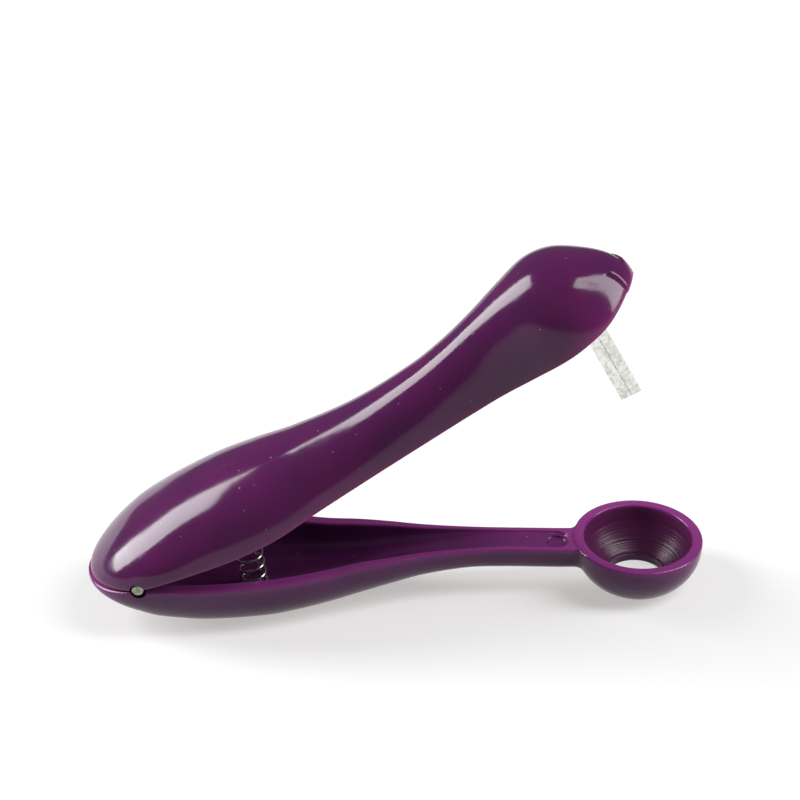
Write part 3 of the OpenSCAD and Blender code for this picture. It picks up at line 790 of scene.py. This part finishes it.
wire_steel = steel("bright_spring_wire", WIRE_BRIGHT, WIRE_DULL, grain_scale=(900, 900, 5000),
                   smudge_size=500.0, gloss=0.14, relief=0.15)
spring = piece(bpy.data.meshes.new("return_spring_coil"))
winder = spring.modifiers.new("wound", "NODES")
winder.node_group = coil
amounts = {"Coil radius": COIL_R, "Wire radius": WIRE_R, "Working turns": TURNS,
           "Height": SEAT_SPAN - 2 * foot_up, "End pitch": END_PITCH, "Steps per turn": STEPS,
           "Wire": wire_steel}
for item in coil.interface.items_tree:
    if item.in_out == "INPUT" and item.name in amounts:
        winder[item.identifier] = amounts[item.name]
wound = made_plain(spring)
placed(wound, lambda p: lay(at_spring(p, foot_up)))
outwards = bmesh.new()
outwards.from_mesh(wound)
bmesh.ops.recalc_face_normals(outwards, faces=outwards.faces)
outwards.to_mesh(wound)
outwards.free()
finish_mesh(spring, "return_spring_wire", 50)
wound.materials.append(wire_steel)
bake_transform(spring)
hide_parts("return_spring")

# -------------------------------------------------------------- upper handle
# The second moulding of the same plastic: a rounded cover, open below, that laps over
# the lower handle when squeezed. It narrows to a neck and swells again into the domed
# head, whose boss grips the punch. Its lugs run on the pin inside the lower ones.
UP_HEEL = -10.7
NOSE = 113.4

# Distance along the shut handle from the pin, half width, rim height, height
UP_STATIONS = np.array([
    [UP_HEEL, 13.8, 0, 5.9],
    [0, 14.8, 0.15, 7.6],
    [6, 15.9, -0.05, 8.9],
    [13, 15.9, -0.9, 10.9],
    [22, 15.7, -1.7, 12.3],
    [30, 14.6, -2, 12.4],
    [39.5, 12.2, -1.5, 11.4],
    [53, 9.8, -0.5, 10.7],
    [67, 8.6, 1.1, 11.3],
    [75, 8.5, 2.3, 12.4],
    [82, 8.9, 3.5, 13.9],
    [89, 10.6, 5, 15.4],
    [95, 12.6, 6.6, 16],
    [101, 13.5, 7.9, 15.5],
    [107, 12.75, 8.9, 14.3],
    [NOSE, 10.4, 11.3, 12.6],
])
UP_HEEL_ROUND = 14.1
HEAD_ROUND = 18.7
HEAD_RINGS = 64
UP_SQUARE = 2.15
UP_WALL = 1.5
UP_CROWN = 2.0
UP_LIP = 0.45
UP_LIP_IN = 0.3
UP_GROOVE = 0.03
UP_WEB = 12.0
LUG_GAP = 0.3
PIN_CLEAR = 0.05
PUNCH_W = 4.3
PUNCH_SHEET = 0.6
PUNCH_FOLD = 168
PUNCH_CREASE = 0.24
PUNCH_TILT = math.radians(1.5)
PUNCH_X = 102.5
PUNCH_DROP = 13.2
PUNCH_SET = 7.0
BOSS_R = 3.6
BOSS_L = 9.0
BOSS_UP = 25.6
BOSS_CHAMFER = 0.4
BOSS_ROOT = 2
SLOT_CLEAR = 0.01
PAD_RAISE = 0.4
PAD_HALF = 5.0
PAD_TOP = 14.8
PAD_HORN = 1.9
PAD_BACK = 107.5
HEAD_MIDDLE = (104, 11)
UP_BODY = (0.062, 0.0098, 0.06)
# Rim colour: a lighter tone for the flow mottling, also painted glow along the rim, fading more slowly on the
# head
UP_MOTTLE_AND_GLOW = (0.2, 0.013, 0.115)
UP_GLOW = 0.5
HEAD_GLOW = 0.7


def up_rim(s):
    """Height of the upper handle's rim, which rises away behind the pin."""
    return np.where(s < 0, -s * math.tan(OPEN - HEEL) + SEAM_GAP / 2, curve(UP_STATIONS, 2, s))


def up_height(s):
    """Height from the rim, which keeps the crown smooth where the rim bends at the hinge."""
    return curve(UP_STATIONS, 3, s) - up_rim(s) + curve(UP_STATIONS, 2, s)


def smooth_step(value, soft):
    """0 below nothing, 1 above soft, smooth between."""
    t = np.clip(value / soft, 0, 1)
    return t * t * (3 - 2 * t)


def nose_pad(points):
    """Raises the shallow pad on the nose of the head."""
    x, y, h = points[..., 0], points[..., 1], points[..., 2]
    z = up_rim(x) + h
    top = PAD_TOP + PAD_HORN * np.clip(-y / PAD_HALF, 0, 1) ** 2
    raised = PAD_RAISE * smooth_step(PAD_HALF - abs(y), 0.4) * smooth_step(top - z, 0.5)
    raised = raised * smooth_step(x - PAD_BACK, 1.0)
    out = np.stack((x - HEAD_MIDDLE[0], 0.3 * y, 0.5 * (z - HEAD_MIDDLE[1])), -1)
    out /= np.maximum(np.linalg.norm(out, axis=-1), 1e-6)[..., None]
    out[..., 2] *= h > 0.6
    return points + out * raised[..., None]


def at_punch(points):
    """From the punch's own axis, tip at zero, to the hinge axis of the shut handle."""
    return turned(points, -PUNCH_TILT) + [PUNCH_X, 0, -PUNCH_DROP]


def up_section(wall, crown):
    """Places, half widths and heights of a skin that lies in by a wall and a crown."""
    heel, nose = wall + UP_HEEL, NOSE - wall
    x = ring_places(heel, nose, UP_HEEL_ROUND - wall, HEAD_ROUND - wall, far=HEAD_RINGS)
    share = round_off(x, heel, UP_HEEL_ROUND - wall) * round_off(x, nose, HEAD_ROUND - wall)
    return x, (curve(UP_STATIONS, 1, x) - wall) * share, (up_height(x) - crown) * share


up_outside, up_inside = up_section(0, 0), up_section(UP_WALL, UP_CROWN)
up_outer = nose_pad(skin(*up_outside, UP_LIP, UP_SQUARE))
up_inner = skin(*up_inside, UP_LIP_IN, UP_SQUARE)
cover = shell_rings(up_outer, up_inner, UP_LIP, UP_LIP_IN, UP_GROOVE)
upper = piece(ring_mesh("upper_shell", fixed_rings(cover, up_rim, 1)))

up_out = LUG_OUT - LUG_T - LUG_GAP
lug_places = (up_out - LUG_T, -up_out)
webs = [lug(y0, UP_WEB) for y0 in lug_places]
seat = placed(spring_seat(-1), lambda p: turned(at_spring(p, SEAT_SPAN), OPEN))
boss_top = BOSS_UP + BOSS_L + BOSS_ROOT
boss_profile = [(0, BOSS_UP), (BOSS_R - BOSS_CHAMFER, BOSS_UP), (BOSS_R, BOSS_UP + BOSS_CHAMFER),
                (BOSS_R, boss_top), (0, boss_top)]
boss = placed(revolved("boss", boss_profile, 72), at_punch)
middle_skin = (skin(*up_outside, 0.0, UP_SQUARE) + skin(*up_inside, 0.0, UP_SQUARE)) / 2
combine(upper, inner_parts(webs + [seat, boss], middle_skin, up_rim, 1), "UNION")
for y0 in lug_places:
    combine(upper, piece(lug_eye(y0)), "UNION")
combine(upper, piece(cylinder_y("bore", PIN_R + PIN_CLEAR, -LUG_OUT, LUG_OUT)), "DIFFERENCE")
cut_notches(upper)


def blade_rings(levels, grow=0.0, crease_deep=0.0):
    """Rings of the folded blade at each (share of width, height), creased along its fold."""
    dip = math.tan(math.radians(90 - PUNCH_FOLD / 2))
    rings = []
    for share, z in levels:
        half_w = PUNCH_W / 2 * share + grow
        lift = half_w * dip / 2
        t = PUNCH_SHEET / 2 + grow
        side = np.concatenate((np.linspace(-1, -0.2, 7), np.linspace(-PUNCH_CREASE, 0, 4) / half_w))
        across = np.concatenate((side, -side[-2::-1]))
        crease = [crease_deep * max(1 - abs(a) * half_w / PUNCH_CREASE, 0) for a in across]
        back = [(a * half_w, lift * (2 * abs(a) - 1) - t + d) for a, d in zip(across, crease)]
        face = [(a * half_w, lift * (2 * abs(a) - 1) + t - d) for a, d in zip(across[::-1], crease[::-1])]
        rings.append([(x, y, z) for x, y in back + face])
    return np.array(rings)


slot_levels = [(1, BOSS_UP - 1), (1, BOSS_UP + PUNCH_SET + 0.05)]
slot_cut = ring_mesh("slot", blade_rings(slot_levels, grow=SLOT_CLEAR), caps=(True, True))
combine(upper, piece(placed(slot_cut, at_punch)), "DIFFERENCE")
placed(upper.data, lambda p: lay(p, True))


def up_glow_share(p):
    """Share of painted glow: 1 at the upper handle's rim, fading out above it, more slowly on the head."""
    q = turned(unlaid(p), OPEN)
    glow = UP_GLOW + HEAD_GLOW * smooth_step(q[:, 0] - 80, 25)
    return np.exp(-np.maximum(q[:, 2] - up_rim(np.clip(q[:, 0], -11, NOSE)), 0) / glow)


finish_mesh(upper, "upper_handle_moulding")
# Where the painted rim glow goes
point_mask(upper, "edge", up_glow_share)
upper.data.materials.append(plastic("purple_plastic_upper", UP_BODY, UP_MOTTLE_AND_GLOW, haze=0.12, dust=0.7)[0])
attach(upper, "upper")
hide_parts("upper_handle")

# ------------------------------------------------------------------- punch
# A strip of stainless sheet, folded slightly along its middle so that it stays stiff
# and grips the stone, blanked and left as rolled. Its upper end is set in the boss.
CREASE_DEEP = 0.2
PUNCH_PALE = (0.88, 0.88, 0.84)
PUNCH_DULL = (0.6, 0.6, 0.55)
punch_top = BOSS_UP + PUNCH_SET
levels = [(0.985, 0.0), (1, 0.08)]
levels += [(1, z) for z in np.linspace(1.5, punch_top - 0.2, 24)] + [(0.98, punch_top)]
blade = ring_mesh("punch_blade", blade_rings(levels, crease_deep=CREASE_DEEP), caps=(True, True))
punch = piece(placed(blade, lambda p: lay(at_punch(p), True)))
finish_mesh(punch, "punch_blade", 40)
punch.data.materials.append(steel("rolled_stainless", PUNCH_PALE, PUNCH_DULL, grain_scale=(3000, 3000, 500),
                                  smudge_size=1300.0, gloss=0.33, relief=0.3))
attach(punch, "upper")
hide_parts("punch")

# --------------------------------------------------------------- hinge pin
# A plain steel pin, chamfered at both ends, pressed through the lower lugs. The upper
# lugs turn on it, and its ends stand in the notches of both outer walls.
PIN_LEN = 27.6
PIN_CHAMFER = 0.2
PIN_TONE = (0.34, 0.37, 0.3)
PIN_DULL = (0.17, 0.19, 0.14)
bar = cylinder_y("hinge_pin_bar", PIN_R, -PIN_LEN / 2, PIN_LEN / 2, chamfer=PIN_CHAMFER)
pin = piece(placed(bar, lay))
finish_mesh(pin, "hinge_pin_bar", 30)
pin.data.materials.append(steel("drawn_pin_steel", PIN_TONE, PIN_DULL, grain_scale=(2600, 200, 2600),
                                smudge_size=1100.0, gloss=0.3, relief=0.3))
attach(pin, "lower")
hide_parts("hinge_pin")

# ------------------------------------------------------------- stage and light
# A plain white sheet under the object, a broad lamp to its left, a tall one to its
# right, and a dim even room. The camera looks at the photograph's viewing angle.
PAPER = (0.46, 0.47, 0.48, 1)
PAPER_GLOW = (1, 0.965, 0.935, 1)
GLOW_STRENGTH = 0.45
ROOM_TONE = (0.98, 0.97, 1.0, 1)
ROOM_STRENGTH = 0.14
LAMP_DISTANCE = 1.0
LAMP_AIM = Vector((0.0, 0.0, 0.03))
PICTURE_PX = 800
LENS_PX = 2142
SENSOR = 36
PITCH = 0.553
YAW = math.radians(2)
CAMERA_AT = [39.756, -354.571, 253.53]

sheet = bpy.data.meshes.new("white_sheet")
flat_sheet = bmesh.new()
bmesh.ops.create_grid(flat_sheet, x_segments=1, y_segments=1, size=3)
flat_sheet.to_mesh(sheet)
flat_sheet.free()
floor = piece(sheet)
paper = bpy.data.materials.new("white_sheet")
paper.use_nodes = True
tree = paper.node_tree
tree.nodes.clear()
seen = node(tree, "ShaderNodeLightPath").outputs
open_view = maths(tree, "MAXIMUM", seen["Is Camera Ray"], seen["Is Glossy Ray"])
open_view = maths(tree, "MAXIMUM", open_view, seen["Is Transmission Ray"])
lit = node(tree, "ShaderNodeBsdfDiffuse", {"Color": PAPER})
glow = node(tree, "ShaderNodeEmission", {
    "Color": PAPER_GLOW, "Strength": maths(tree, "MULTIPLY", open_view, GLOW_STRENGTH)})
both = node(tree, "ShaderNodeAddShader", {0: lit.outputs[0], 1: glow.outputs[0]})
node(tree, "ShaderNodeOutputMaterial", {"Surface": both.outputs[0]})
sheet.materials.append(paper)


def lamp(name, azimuth, elevation, wide, tall, radiance, roll=0):
    """A soft box that spans wide by tall degrees as seen from the object."""
    az, el = math.radians(azimuth), math.radians(elevation)
    towards = Vector((math.cos(az) * math.cos(el), math.sin(az) * math.cos(el), math.sin(el)))
    light = bpy.data.lights.new(name, "AREA")
    light.shape = "RECTANGLE"
    light.size = 2 * LAMP_DISTANCE * math.tan(math.radians(wide / 2))
    light.size_y = 2 * LAMP_DISTANCE * math.tan(math.radians(tall / 2))
    light.energy = radiance * math.pi * light.size * light.size_y
    ob = bpy.data.objects.new(name, light)
    bpy.context.scene.collection.objects.link(ob)
    ob.location = LAMP_AIM + towards * LAMP_DISTANCE
    rolled = towards.to_track_quat("Z", "Y") @ Quaternion((0, 0, 1), math.radians(roll))
    ob.rotation_euler = rolled.to_euler()


lamp("left_soft_box", azimuth=161.5, elevation=27.5, wide=27, tall=41, radiance=14.0)
lamp("right_soft_box", azimuth=348, elevation=36, wide=20, tall=66, radiance=9.5, roll=9)
room = bpy.data.worlds.new("dim_room")
bpy.context.scene.world = room
room.use_nodes = True
room.node_tree.nodes["Background"].inputs["Color"].default_value = ROOM_TONE
room.node_tree.nodes["Background"].inputs["Strength"].default_value = ROOM_STRENGTH

away = np.array([math.sin(YAW) * math.cos(PITCH), math.cos(YAW) * math.cos(PITCH), -math.sin(PITCH)])
right = np.cross(away, [0, 0, 1])
right /= np.linalg.norm(right)
up = np.cross(right, away)
axes = turned(np.array([right, up, -away]), LIE)
camera = bpy.data.cameras.new("camera")
camera.sensor_width = SENSOR
camera.lens = SENSOR * LENS_PX / PICTURE_PX
camera.clip_start = 0.01
tripod = bpy.data.objects.new("camera", camera)
bpy.context.scene.collection.objects.link(tripod)
place = lay([CAMERA_AT])[0]
tripod.matrix_world = Matrix.Translation(Vector(place)) @ Matrix([tuple(c) for c in axes.T]).to_4x4()
bpy.context.scene.camera = tripod
bpy.context.scene.view_settings.view_transform = "Standard"

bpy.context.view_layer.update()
